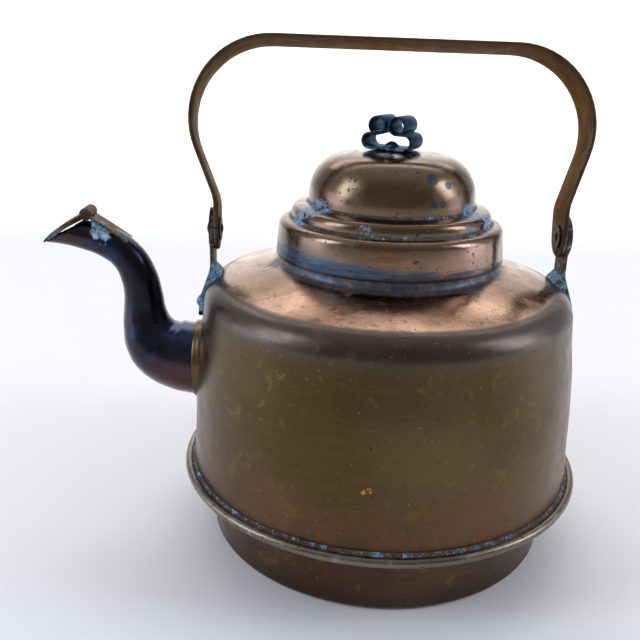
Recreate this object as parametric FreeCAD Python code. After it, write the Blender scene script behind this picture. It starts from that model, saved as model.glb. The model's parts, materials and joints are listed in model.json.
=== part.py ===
import FreeCAD, Part
import math
import os
from FreeCAD import Vector

# A raised and soldered copper stove kettle, in millimetres.
# +Z is up, the origin is the middle of the flat bottom, and the spout points along -X.
# The carrying handle turns about an axis along X, over the middle of the lid.

os.makedirs("parts", exist_ok=True)

# Sheet thicknesses
bodySheet = 1.2
lidSheet = 1.0
strapSheet = 2.4
earSheet = 2.1
knobSheet = 1.3

# The pan hangs in the stove ring, and the flange rests on the ring
panRadius = 93.5
panTopRadius = 94.3
panEdgeBend = 3.5
panTopBend = 1.5
panFold = 104.0
flangeUnderside = 35.3
flangeTop = flangeUnderside + 2 * bodySheet
flangeRadius = 110.0
flangeRimRadius = 2.4
flangeRimHeight = flangeTop + 0.3
flangeInnerRadius = 96.0
beadOutline = [(104.92, 37.74), (105.14, 37.74), (105.13, 38.2), (105.32, 39.0), (105.64, 39.5),
               (106.16, 40.0), (105.6, 40.9), (104.86, 42.2), (104.9, 40.0)]

# Outer face of the body, from the flange up to the shoulder
wallFootRadius = 104.9
wallPoints = [(103.6, 59.2), (102.8, 81.2), (101.4, 101.2), (99.4, 117.2)]
shoulderBend = 13.0
shoulderSlope = math.radians(17)
shoulderRimRadius = 89.0
shoulderRimHeight = 142.3

# Neck under the lid
neckRadius = 55.6
neckFoot = 150.0
neckRimWire = 1.3
neckTop = 172.3
neckBend = 3.0

# Lid: band, step and dome
bandFootRadius = 59.8
bandFoot = 156.4
bandRadius = 58.4
bandTop = 174.2
foldBend = 4.0
ledgeSlope = 0.24
stepFootRadius = 52.4
stepRadius = 51.9
stepTop = 181.3
domeRadius = 43.3
domeTop = 210.7
domePoints = [(43.3, 189.2), (41.6, 196.2), (36.8, 203.2), (28.6, 207.9), (16.0, 209.9)]
ledgeLap = 2.2
solderLeg = 1.5
solderSink = 0.4

# Knob: one strip bent into two loops and two scrolls
knobWidth = 17.0
knobTurn = -28.0
knobAside = Vector(-1.3, 0, 0)
knobFlat = 9.4
knobLoop = 4.3
knobScroll = 4.8
knobScrollGap = 5.3
knobRivetRadius = 3.7
knobRivetHeight = 2.7
knobShank = 1.6
knobShankLength = 5.0
knobWasherRadius = 4.5
scrollSlit = (-36, -24)

# Spout: middle of each section in x and z, and its radius
spoutSections = [
    (-98.0, 93.4, 20.3),
    (-106.0, 93.7, 20.1),
    (-113.0, 95.2, 19.6),
    (-120.8, 98.4, 18.5),
    (-126.5, 104.2, 16.8),
    (-129.7, 111.8, 13.9),
    (-131.0, 120.2, 11.7),
    (-131.5, 130.2, 10.4),
    (-133.5, 140.4, 9.8),
    (-139.2, 151.2, 9.0),
    (-149.4, 158.4, 8.5),
    (-160.5, 161.9, 7.9),
    (-172.0, 164.0, 7.3),
    (-186.0, 165.6, 7.6),
]
spoutSheet = 1.2
spoutRootHeight = 93.4
wallOpening = 19.4
spoutRunsTo = (-120.0, -60.0)
collarRadius = 21.1
collarFlare = 22.8
collarReach = -107.5
collarBend = -102.2
collarEnd = -98.0
mouthTip = Vector(-182.0, 0, 157.1)
mouthBack = Vector(-158.0, 0, 171.5)

# Flap over the spout mouth, and its hinge
barrelCentre = Vector(-158.4, 0, 173.9)
barrelRadius = 3.2
barrelHalf = 6.0
flapKnuckleHalf = 2.0
knuckleGap = 0.2
pinRadius = 1.4
pinClearance = 0.06
pinStandsOut = 0.4
flapSheet = 2.4
flapGap = 0.4
flapTip = Vector(-182.8, 0, 158.1)
flapRise = 1.4
flapStart = barrelCentre + Vector(-2.3, 0, -0.4)
flapHalfWidth = 8.2
leafHalf = 6.0
leafSheet = 1.3
leafTop = barrelCentre + Vector(2.6, 0, -1.3)
leafFoot = Vector(-137.2, 0, 160.2)
leafRise = 0.25
leafSolderInset = 0.8
leafSolderFloor = 158.2
solderClearance = 0.4

# Ears and handle
pivotHeight = 167.2
earFace = 94.4
earNeck = 13.5
earHead = 11.0
earPath = [(earFace, pivotHeight + earHead), (earFace, 147.2), (100.4, 130.2), (101.4, 118.8)]
earBend = 14.0
earRivetFace = 101.0
earRivetHeight = 126.8
earRivetHead = 3.3
earRivetDome = 1.8
earShank = 1.6
earShankLength = 6.2
rivetFit = 0.05
earBurr = 2.7
earBurrDome = 1.2
earBurrDepth = 4.0
earSolderOutline = [(99.6, 129.2), (92.4, 147.4), (88.6, 143.4), (90.0, 133.2), (99.6, 129.2)]
earSolderWidth = earNeck + 1.2
strapWidth = 22.0
strapLean = 12.0
sideGap = 0.15
pivotShank = 2.3
pivotClearance = 0.06
pivotHead = 4.6
pivotDome = 2.0
pivotPeen = 3.1
pivotPeenDome = 1.0
washerRadius = 6.2
washerSheet = 0.8
pivotLength = earSheet + strapSheet + 2 * sideGap + washerSheet
strapShoulder = 15.0
strapShoulderBend = 20.0
strapCornerBend = 42.0
strapSpoutCorner = (-125.5, 98.5)
strapTailCorner = (119.3, 96.6)

seamAngle = 57.0
origin = Vector(0, 0, 0)
up = Vector(0, 0, 1)
alongX = Vector(1, 0, 0)
alongY = Vector(0, 1, 0)


def inSection(points):
    return [Vector(x, 0, z) for x, z in points]


def straight(a, b):
    return Part.LineSegment(a, b).toShape()


def smooth(points, startAlong=None, endAlong=None):
    curve = Part.BSplineCurve()
    if startAlong is None:
        curve.interpolate(points)
    else:
        curve.interpolate(points, InitialTangent=startAlong, FinalTangent=endAlong)
    return curve.toShape()


def bent(points, bends):
    # straight runs joined by tangent arcs, one bend radius for each inner point
    edges = []
    start = points[0]
    for corner, following, bend in zip(points[1:-1], points[2:], bends):
        back = (start - corner).normalize()
        ahead = (following - corner).normalize()
        half = back.getAngle(ahead) / 2
        reach = bend / math.tan(half)
        centre = corner + (back + ahead).normalize() * (bend / math.sin(half))
        arcStart = corner + back * reach
        arcEnd = corner + ahead * reach
        middle = centre + (corner - centre).normalize() * bend
        edges.append(straight(start, arcStart))
        edges.append(Part.Arc(arcStart, middle, arcEnd).toShape())
        start = arcEnd
    edges.append(straight(start, points[-1]))
    return Part.Wire(edges)


def interpolated(edge):
    # an ordinary spline in place of an offset one, which does not survive being written out
    if edge.Curve.TypeId in ("Part::GeomLine", "Part::GeomCircle"):
        return edge
    return smooth(edge.discretize(Deflection=0.005))


def band(path, thickness):
    # the flat strip between a path and its offset, a positive thickness to its left
    strip = path.makeOffset2D(thickness, join=0, fill=True, openResult=True).Faces[0]
    edges = [interpolated(edge) for edge in strip.OuterWire.OrderedEdges]
    return Part.Face(Part.Wire(Part.__sortEdges__(edges)))


def turned(face):
    # the seam of a turned piece is kept away from the spout, the ears and the knob
    solid = face.revolve(origin, up, 360)
    solid.rotate(origin, up, seamAngle)
    return solid


def turnedOutline(points):
    return turned(Part.Face(Part.makePolygon(inSection(points + points[:1]))))


def rolled(path, thickness, width):
    # a strip bent along a path in the XZ plane, its width centred on y = 0
    strip = band(path, thickness).extrude(alongY * width)
    strip.translate(alongY * (-width / 2))
    return strip


def ball(radius, rise, foot, direction):
    # domed rivet head: a slice of a sphere, flat side at foot
    sphere = (radius ** 2 + rise ** 2) / (2 * rise)
    cap = Part.makeSphere(sphere)
    keep = Part.makeCylinder(radius + 1, rise, Vector(0, 0, sphere - rise), up)
    cap = cap.common(keep)
    cap.translate(up * (rise - sphere))
    cap.Placement = FreeCAD.Placement(foot, FreeCAD.Rotation(up, direction)).multiply(cap.Placement)
    return cap


def save(name, shape):
    # a cut can leave slivers beyond a bend, so only the main solid is kept
    solid = max(shape.Solids, key=lambda piece: piece.Volume)
    print(name, round(solid.Volume), "mm3, valid", solid.isValid())
    solid.exportStep(f"parts/{name}.step")
    return solid


# Body -------------------------------------------------------------------

def bodyPath():
    foot = Vector(wallFootRadius, 0, flangeTop)
    start = Vector(shoulderRimRadius, 0, shoulderRimHeight)
    centre = start - Vector(math.sin(shoulderSlope), 0, math.cos(shoulderSlope)) * shoulderBend
    upright = math.radians(86)
    middleTurn = (shoulderSlope + upright) / 2
    middle = centre + Vector(math.sin(middleTurn), 0, math.cos(middleTurn)) * shoulderBend
    wallTop = centre + Vector(math.sin(upright), 0, math.cos(upright)) * shoulderBend
    along = Vector(-math.cos(upright), 0, math.sin(upright))
    wall = smooth([foot] + inSection(wallPoints) + [wallTop], up, along)
    rim = Part.Arc(wallTop, middle, start).toShape()
    fall = math.tan(shoulderSlope)
    neckMeets = Vector(neckRadius + bodySheet, 0, shoulderRimHeight
                       + (shoulderRimRadius - neckRadius - bodySheet) * fall)
    neckEnd = neckMeets + up * 4.5
    shoulder = bent([start, neckMeets, neckEnd], [neckBend])
    return Part.Wire([wall, rim] + shoulder.Edges)


def bodyEnvelope(path):
    first = path.OrderedVertexes[0].Point
    last = path.OrderedVertexes[-1].Point
    axisTop = Vector(0, 0, last.z)
    axisFoot = Vector(0, 0, first.z)
    closing = Part.makePolygon([last, axisTop, axisFoot, first])
    return turned(Part.Face(Part.Wire(path.Edges + closing.Edges)))


bodyWall = bodyPath()
envelope = bodyEnvelope(bodyWall)

pan = bent(inSection([(0, 0), (panRadius, 0), (panTopRadius, flangeUnderside), (panFold, flangeUnderside)]),
           [panEdgeBend, panTopBend])
bottomPan = turned(band(pan, bodySheet))

plate = Part.makeCylinder(flangeRadius - flangeRimRadius, bodySheet, up * (flangeTop - bodySheet))
plate = plate.cut(Part.makeCylinder(flangeInnerRadius, bodySheet, up * (flangeTop - bodySheet)))
rim = Part.makeTorus(flangeRadius - flangeRimRadius, flangeRimRadius, up * flangeRimHeight, up)
stoveFlange = plate.fuse(rim).removeSplitter()

footRing = turnedOutline(beadOutline)

shell = turned(band(bodyWall, bodySheet))
spoutHole = Part.makeCylinder(wallOpening, spoutRunsTo[1] - spoutRunsTo[0],
                              Vector(spoutRunsTo[0], 0, spoutRootHeight), alongX)

neckCollar = turnedOutline([(neckRadius, neckFoot), (neckRadius, neckTop),
                            (neckRadius - bodySheet, neckTop), (neckRadius - bodySheet, neckFoot)])
neckRim = Part.makeTorus(neckRadius - bodySheet, neckRimWire, up * neckTop, up).cut(neckCollar)

save("bottom_pan", bottomPan)
save("stove_flange", stoveFlange)
save("foot_bead", footRing)
save("neck_collar", neckCollar)
save("neck_rim", neckRim)

# Spout ------------------------------------------------------------------

def spoutLoft(inset):
    places = [Vector(x, 0, z) for x, z, r in spoutSections]
    rings = []
    for index, (place, section) in enumerate(zip(places, spoutSections)):
        before = places[max(index - 1, 0)]
        after = places[min(index + 1, len(places) - 1)]
        ahead = after - before
        if index == 0:
            ahead = Vector(-1, 0, 0)
        rings.append(Part.Wire([Part.makeCircle(section[2] - inset, place, ahead)]))
    return Part.makeLoft(rings, True, False)


def aboveMouth(gap):
    # everything more than a gap above the slanting cut, as a block standing on it
    across, wide, high = 60, 40, 40
    slope = mouthBack - mouthTip
    block = Part.makeBox(across, wide, high, Vector(-across / 2, -wide / 2, gap))
    block.rotate(origin, alongY, -math.degrees(math.atan2(slope.z, slope.x)))
    block.translate((mouthTip + mouthBack) * 0.5)
    return block


spoutOuter = spoutLoft(0).cut(envelope)
save("spout", spoutOuter.cut(spoutLoft(spoutSheet)).cut(aboveMouth(0)))

collarBore = spoutSections[0][2]
collarOutline = [(collarReach, collarBore), (collarReach, collarRadius), (collarBend, collarRadius),
                 (collarEnd, collarFlare), (collarEnd, collarBore), (collarReach, collarBore)]
collarFace = Part.Face(Part.makePolygon(inSection([(x, spoutRootHeight + r) for x, r in collarOutline])))
collar = collarFace.revolve(Vector(collarEnd, 0, spoutRootHeight), alongX, 360)
save("spout_collar", collar.cut(envelope).cut(spoutOuter))

# Flap hinge -------------------------------------------------------------

def onBarrel(radius, fromY, toY):
    return Part.makeCylinder(radius, toY - fromY, Vector(barrelCentre.x, fromY, barrelCentre.z), alongY)


def arched(start, end, rise):
    # a shallow arc between two points of the XZ plane, bulging away from the spout
    span = end - start
    if span.x < 0:
        rise = -rise
    normal = Vector(-span.z, 0, span.x).normalize()
    return Part.Wire([Part.Arc(start, (start + end) * 0.5 + normal * rise, end).toShape()])


leafPlate = rolled(arched(leafTop, leafFoot, leafRise), leafSheet, 2 * leafHalf)
knuckleEnd = flapKnuckleHalf + knuckleGap
barrelSpace = onBarrel(barrelRadius + knuckleGap, -knuckleEnd, knuckleEnd)
leafKnuckles = [onBarrel(barrelRadius, -barrelHalf, -knuckleEnd),
                onBarrel(barrelRadius, knuckleEnd, barrelHalf)]
pinSpace = onBarrel(pinRadius, -barrelHalf, barrelHalf)
hingeLeaf = leafPlate.fuse(leafKnuckles).cut(barrelSpace).cut(pinSpace).cut(spoutOuter).removeSplitter()
save("hinge_leaf", hingeLeaf)
save("hinge_pin", onBarrel(pinRadius, -barrelHalf - pinStandsOut, barrelHalf + pinStandsOut))

wedge = Part.Face(Part.makePolygon([leafTop, leafFoot, Vector(leafFoot.x - 6, 0, leafSolderFloor),
                                    Vector(leafTop.x, 0, leafSolderFloor + 4), leafTop]))
wedge = wedge.extrude(alongY * (2 * (leafHalf - leafSolderInset)))
wedge.translate(alongY * (leafSolderInset - leafHalf))
leafSolder = wedge.cut(leafPlate).cut(spoutOuter)
save("leaf_solder", leafSolder.cut(onBarrel(barrelRadius + solderClearance, -barrelHalf, barrelHalf)))

flapPlate = rolled(arched(flapStart, flapTip, flapRise), flapSheet, 2 * flapHalfWidth + 2)
flapPlate = flapPlate.common(aboveMouth(flapGap))
flapAhead = (flapTip - flapStart).normalize()
flapNormal = Vector(flapAhead.z, 0, -flapAhead.x)
flapReach = 16.0


def onFlap(along, across):
    return barrelCentre + flapAhead * along + alongY * across - flapNormal * (flapReach / 2)


flapLength = (flapTip - barrelCentre).Length + 1
flapBackAt = barrelRadius + 0.4
flapSides = []
for side in (1, -1):
    edge = [(flapBackAt, 6.0), (9.5, flapHalfWidth), (17.5, 7.4), (flapLength - 3.5, 3.6), (flapLength, 0)]
    flapSides.append(smooth([onFlap(along, side * across) for along, across in edge]))
flapBack = straight(onFlap(flapBackAt, -6.0), onFlap(flapBackAt, 6.0))
flapOutline = Part.Face(Part.Wire(Part.__sortEdges__(flapSides + [flapBack]))).extrude(flapNormal * flapReach)
tongueLength = 9.0
tongue = Part.makeBox(tongueLength, 2 * flapKnuckleHalf, flapReach,
                      Vector(-2, -flapKnuckleHalf, -flapReach / 2))
tongue.rotate(origin, alongY, math.degrees(math.atan2(-flapAhead.z, flapAhead.x)))
tongue.translate(barrelCentre)
flapKnuckle = onBarrel(barrelRadius, -flapKnuckleHalf, flapKnuckleHalf)
flapBore = onBarrel(pinRadius + pinClearance, -barrelHalf, barrelHalf)
spoutFlap = flapPlate.common(flapOutline).fuse([flapPlate.common(tongue), flapKnuckle]).cut(flapBore)
save("spout_flap", spoutFlap)

# Lid --------------------------------------------------------------------

def ledgeAt(outer, top, radius):
    return top + (outer - radius) * ledgeSlope


def folded(footRadius, foot, outer, top, inner):
    # an upright ring folded inward into a gently rising ledge
    corners = [(footRadius, foot), (outer, top), (inner, ledgeAt(outer, top, inner))]
    return bent(inSection(corners), [foldBend])


def fillet(radius, height):
    inner = radius - solderSink
    foot = height - solderSink
    return turnedOutline([(inner, foot), (radius + solderLeg, foot), (inner, height + solderLeg)])


stepLedge = ledgeAt(bandRadius, bandTop, stepFootRadius)
domeLedge = ledgeAt(stepRadius, stepTop, domeRadius)
bandWall = folded(bandFootRadius, bandFoot, bandRadius, bandTop, stepFootRadius - ledgeLap)
lidBand = turned(band(bandWall, lidSheet))
stepWall = folded(stepFootRadius, stepLedge - solderSink, stepRadius, stepTop, domeRadius - ledgeLap)
lidStep = save("lid_step", turned(band(stepWall, lidSheet)).cut(lidBand))
domeRun = smooth(inSection([(domeRadius, domeLedge - solderSink)] + domePoints + [(0, domeTop)]),
                 up, Vector(-1, 0, 0))
knobHole = Part.makeCylinder(knobShank + rivetFit, 2 * knobShankLength,
                             knobAside + up * (domeTop - knobShankLength))
lidDome = save("lid_dome", turned(band(Part.Wire([domeRun]), lidSheet)).cut(lidStep).cut(knobHole))
save("lid_band", lidBand)
save("lid_solder_lower", fillet(stepFootRadius, stepLedge).cut(lidBand).cut(lidStep))
save("lid_solder_upper", fillet(domeRadius, domeLedge).cut(lidStep).cut(lidDome))

# Knob -------------------------------------------------------------------

def curl(centre, outer, openFrom, openTo):
    # a tube of the knob's strip along Y, with a wedge left out between two angles
    foot = centre - alongY * (knobWidth / 2)
    tube = Part.makeCylinder(outer, knobWidth, foot, alongY)
    tube = tube.cut(Part.makeCylinder(outer - knobSheet, knobWidth, foot, alongY))
    far = 3 * outer
    steps = 4
    corners = [foot]
    for step in range(steps + 1):
        turn = math.radians(openFrom + (openTo - openFrom) * step / steps)
        corners.append(foot + Vector(math.cos(turn), 0, math.sin(turn)) * far)
    return tube.cut(Part.Face(Part.makePolygon(corners + [foot])).extrude(alongY * knobWidth))


def knobStrip(fromX, toX, height):
    return Part.makeBox(toX - fromX, knobWidth, knobSheet, Vector(fromX, -knobWidth / 2, height))


knobRise = domeTop + 2 * knobLoop - knobSheet
knobPieces = []
for side in (1, -1):
    opening = (90, 270) if side > 0 else (-90, 90)
    slit = scrollSlit if side > 0 else (180 - scrollSlit[1], 180 - scrollSlit[0])
    knobPieces.append(curl(Vector(side * knobFlat, 0, domeTop + knobLoop), knobLoop, *opening))
    knobPieces.append(knobStrip(*sorted((side * knobScrollGap, side * knobFlat)), knobRise))
    knobPieces.append(curl(Vector(side * knobScrollGap, 0, knobRise + knobScroll), knobScroll, *slit))
knob = knobStrip(-knobFlat, knobFlat, domeTop).fuse(knobPieces).removeSplitter()
knob.rotate(origin, up, knobTurn)
knob.translate(knobAside)
save("knob_scroll", knob.cut(knobHole))

knobSeat = knobAside + up * (domeTop + knobSheet)
knobRivet = ball(knobRivetRadius, knobRivetHeight, knobSeat, up)
knobRivet = knobRivet.fuse(Part.makeCylinder(knobShank, knobShankLength, knobSeat - up * knobShankLength))
save("knob_rivet", knobRivet.removeSplitter())
washerFoot = knobAside + up * (domeTop - lidSheet - washerSheet)
knobWasher = Part.makeCylinder(knobWasherRadius, washerSheet, washerFoot)
save("knob_washer", knobWasher.cut(knobHole).cut(lidDome))

# Ears, one at the spout and one at the tail -----------------------------

def rivetShank(radius, length, face, out):
    # a shank that runs inward from a face
    return Part.makeCylinder(radius, length, face - out * length, out)


rivetHoles = []
for name, side in (("spout", -1), ("tail", 1)):
    out = alongX * side
    pivotAt = out * earFace + up * pivotHeight
    earRun = bent([out * radius + up * height for radius, height in earPath], [earBend, earBend])
    earStrip = rolled(earRun, -side * earSheet, 2 * earHead + 2)
    toeHeight = earPath[-1][1] + earNeck / 2
    inside = out * 80
    head = Part.makeCylinder(earHead, 30, inside + up * pivotHeight, out)
    toe = Part.makeCylinder(earNeck / 2, 30, inside + up * toeHeight, out)
    neck = Part.makeBox(30, earNeck, pivotHeight - toeHeight,
                        Vector(min(side * 80, side * 110), -earNeck / 2, toeHeight))
    rivetFace = out * earRivetFace + up * earRivetHeight
    rivetRun = rivetShank(earShank, earShankLength, rivetFace, out)
    rivetHole = rivetShank(earShank + rivetFit, earShankLength, rivetFace, out)
    pivotRun = rivetShank(pivotShank, pivotLength, pivotAt, out)
    pivotHole = rivetShank(pivotShank + rivetFit, pivotLength, pivotAt, out)
    ear = earStrip.common(head.fuse([neck, toe])).cut(envelope).cut(rivetHole).cut(pivotHole)
    ear = save(f"ear_{name}", ear)
    burr = ball(earBurr, earBurrDome, rivetFace - out * earBurrDepth, -out)
    earRivet = ball(earRivetHead, earRivetDome, rivetFace, out).fuse([rivetRun, burr])
    save(f"ear_rivet_{name}", earRivet.cut(ear).cut(shell.cut(rivetHole)))
    rivetHoles.append(rivetHole)

    fill = Part.Face(Part.makePolygon([out * radius + up * height for radius, height in earSolderOutline]))
    fill = fill.extrude(alongY * earSolderWidth)
    fill.translate(alongY * (-earSolderWidth / 2))
    save(f"ear_solder_{name}", fill.cut(envelope).cut(earStrip))

    peen = ball(pivotPeen, pivotPeenDome, pivotAt - out * pivotLength, -out)
    pivot = ball(pivotHead, pivotDome, pivotAt, out).fuse([pivotRun, peen]).removeSplitter()
    save(f"pivot_rivet_{name}", pivot)
    washer = Part.makeCylinder(washerRadius, washerSheet, pivotAt - out * pivotLength, out)
    save(f"pivot_washer_{name}", washer.cut(pivotHole))

save("body_shell", shell.cut(spoutHole).cut(rivetHoles))

# Handle -----------------------------------------------------------------

endFace = earFace - earSheet - sideGap
handleRun = bent([
    Vector(-endFace, 0, pivotHeight - strapWidth / 2),
    Vector(-endFace, 0, pivotHeight + strapShoulder),
    Vector(strapSpoutCorner[0], 0, pivotHeight + strapSpoutCorner[1]),
    Vector(strapTailCorner[0], 0, pivotHeight + strapTailCorner[1]),
    Vector(endFace, 0, pivotHeight + strapShoulder),
    Vector(endFace, 0, pivotHeight - strapWidth / 2),
], [strapShoulderBend, strapCornerBend, strapCornerBend, strapShoulderBend])
strap = rolled(handleRun, -strapSheet, strapWidth)
halfSpan = 140
acrossFoot = Vector(-halfSpan, 0, pivotHeight)
endRound = Part.makeCylinder(strapWidth / 2, 2 * halfSpan, acrossFoot, alongX)
aboveEnds = Part.makeBox(2 * halfSpan, strapWidth, halfSpan, acrossFoot - alongY * (strapWidth / 2))
pivotHoles = Part.makeCylinder(pivotShank + pivotClearance, 2 * halfSpan, acrossFoot, alongX)
strap = strap.common(endRound.fuse(aboveEnds)).cut(pivotHoles)
strap.rotate(up * pivotHeight, alongX, -strapLean)
save("handle", strap)
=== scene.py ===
import json
import math

import bpy
from mathutils import Matrix, Vector


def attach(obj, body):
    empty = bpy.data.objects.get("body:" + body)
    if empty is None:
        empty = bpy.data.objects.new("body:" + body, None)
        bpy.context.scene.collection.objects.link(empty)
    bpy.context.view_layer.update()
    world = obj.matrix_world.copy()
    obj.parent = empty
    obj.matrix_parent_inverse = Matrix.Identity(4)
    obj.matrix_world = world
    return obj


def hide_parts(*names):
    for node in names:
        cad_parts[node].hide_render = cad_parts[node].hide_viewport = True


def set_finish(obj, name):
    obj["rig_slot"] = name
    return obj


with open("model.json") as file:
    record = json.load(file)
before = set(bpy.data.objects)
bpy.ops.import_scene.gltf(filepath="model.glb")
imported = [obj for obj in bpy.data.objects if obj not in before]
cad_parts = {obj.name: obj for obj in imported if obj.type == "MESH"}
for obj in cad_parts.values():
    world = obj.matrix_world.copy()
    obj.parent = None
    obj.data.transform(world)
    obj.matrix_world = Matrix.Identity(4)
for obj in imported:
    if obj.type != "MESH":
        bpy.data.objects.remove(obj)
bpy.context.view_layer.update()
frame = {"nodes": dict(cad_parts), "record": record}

print("frame loaded with", len(frame["nodes"]), "solids")

mm = 0.001
turnSteps = 180


# modelling helpers

def selectNothing():
    if bpy.context.mode != "OBJECT":
        bpy.ops.object.mode_set(mode="OBJECT")
    bpy.ops.object.select_all(action="DESELECT")


def finishEditing(piece, sharpOver=35):
    if bpy.context.mode != "OBJECT":
        bpy.ops.object.mode_set(mode="OBJECT")
    selectNothing()
    piece.select_set(True)
    bpy.context.view_layer.objects.active = piece
    bpy.ops.object.shade_smooth_by_angle(angle=math.radians(sharpOver))
    return piece


def firstPoint(name, place):
    # a plane merged down to one vertex, ready to be extruded into a profile
    selectNothing()
    bpy.ops.mesh.primitive_plane_add(size=0.01)
    piece = bpy.context.object
    piece.name = name
    piece.data.name = name
    bpy.ops.object.mode_set(mode="EDIT")
    bpy.ops.mesh.select_all(action="SELECT")
    bpy.ops.mesh.merge(type="CENTER")
    bpy.ops.transform.translate(value=place)
    return piece


def drawTo(places, start):
    here = start
    for place in places:
        bpy.ops.mesh.extrude_vertices_move(TRANSFORM_OT_translate={"value": place - here})
        here = place


def closeProfile():
    bpy.ops.mesh.select_all(action="SELECT")
    bpy.ops.mesh.remove_doubles(threshold=1e-6)


def rounded(corners):
    # (radius, height, bend) corners in mm become points, each bend an arc of that radius
    points = []
    for index, (r, z, bend) in enumerate(corners):
        corner = Vector((r, z))
        if not bend:
            points.append(corner)
            continue
        before = (Vector(corners[index - 1][:2]) - corner).normalized()
        after = (Vector(corners[(index + 1) % len(corners)][:2]) - corner).normalized()
        half = before.angle(after) / 2
        centre = corner + (before + after).normalized() * (bend / math.sin(half))
        start = corner + before * (bend / math.tan(half)) - centre
        end = corner + after * (bend / math.tan(half)) - centre
        sweep = start.angle_signed(end)
        steps = max(3, round(abs(math.degrees(sweep)) / 6))
        for step in range(steps + 1):
            turn = -sweep * step / steps
            points.append(centre + Matrix.Rotation(turn, 2) @ start)
    return points


def profile(name, corners, closed=False):
    places = [Vector((point.x * mm, 0, point.y * mm)) for point in rounded(corners)]
    piece = firstPoint(name, places[0])
    drawTo(places[1:] + (places[:1] if closed else []), places[0])
    closeProfile()
    return piece


def flowing(points, perSpan=5):
    # points between the given ones on a smooth curve through them
    result = []
    for index in range(len(points) - 1):
        before = points[max(index - 1, 0)]
        here = points[index]
        after = points[index + 1]
        beyond = points[min(index + 2, len(points) - 1)]
        for step in range(perSpan):
            t = step / perSpan
            result.append(tuple(0.5 * (2 * b + (c - a) * t + (2 * a - 5 * b + 4 * c - d) * t * t
                                       + (3 * b - a - 3 * c + d) * t ** 3)
                                for a, b, c, d in zip(before, here, after, beyond)))
    return result + [tuple(points[-1])]


def turnAbout(piece, centre=(0, 0, 0), axis=(0, 0, 1), steps=turnSteps):
    bpy.ops.mesh.select_all(action="SELECT")
    bpy.ops.mesh.spin(steps=steps, angle=2 * math.pi, center=centre, axis=axis)
    bpy.ops.mesh.select_all(action="SELECT")
    bpy.ops.mesh.remove_doubles(threshold=2e-6)
    bpy.ops.mesh.normals_make_consistent(inside=False)
    bpy.ops.object.mode_set(mode="OBJECT")
    return piece


def applied(piece, kind, **settings):
    selectNothing()
    piece.select_set(True)
    bpy.context.view_layer.objects.active = piece
    bpy.ops.object.modifier_add(type=kind)
    modifier = piece.modifiers[-1]
    for name, value in settings.items():
        setattr(modifier, name, value)
    bpy.ops.object.modifier_apply(modifier=modifier.name)
    return piece


def sheeted(piece, thickness, side=-1):
    return applied(piece, "SOLIDIFY", thickness=thickness * mm, offset=side, use_even_offset=True)


def eased(piece, width, segments=2, angle=40):
    return applied(piece, "BEVEL", width=width * mm, segments=segments, limit_method="ANGLE",
                   angle_limit=math.radians(angle))


def turnedSheet(name, corners, thickness, side=-1, edge=0.25):
    piece = turnAbout(profile(name, corners))
    sheeted(piece, thickness, side)
    eased(piece, edge)
    return finishEditing(piece)


def turnedRing(name, corners, sharpOver=35):
    return finishEditing(turnAbout(profile(name, corners, closed=True)), sharpOver)


def joined(name, pieces):
    selectNothing()
    for piece in pieces:
        piece.select_set(True)
    bpy.context.view_layer.objects.active = pieces[0]
    bpy.ops.object.join()
    pieces[0].name = name
    return pieces[0]


def settle(piece, turn=Matrix.Identity(4)):
    # the turn goes into the mesh, and the object stays at the origin
    piece.matrix_world = turn @ piece.matrix_world
    selectNothing()
    piece.select_set(True)
    bpy.context.view_layer.objects.active = piece
    bpy.ops.object.transform_apply(location=True, rotation=True, scale=True)
    return piece


def cutWith(piece, tool, operation):
    applied(piece, "BOOLEAN", operation=operation, object=tool, solver="EXACT")
    bpy.data.objects.remove(tool)
    return piece


def cutAway(piece, tool):
    return cutWith(piece, tool, "DIFFERENCE")


def keepInside(piece, tool):
    return cutWith(piece, tool, "INTERSECT")


# shader maths

class Value:
    # one output socket of a shader, with arithmetic that adds the nodes it needs
    def __init__(self, maker, socket):
        self.maker = maker
        self.socket = socket

    def maths(self, operation, first, second=None):
        inputs = {0: first} if second is None else {0: first, 1: second}
        return self.maker.node("ShaderNodeMath", {"operation": operation}, inputs)

    def __add__(self, other):
        return self.maths("ADD", self, other)

    def __sub__(self, other):
        return self.maths("SUBTRACT", self, other)

    def __rsub__(self, other):
        return self.maths("SUBTRACT", other, self)

    def __mul__(self, other):
        return self.maths("MULTIPLY", self, other)

    __radd__ = __add__
    __rmul__ = __mul__


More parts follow.
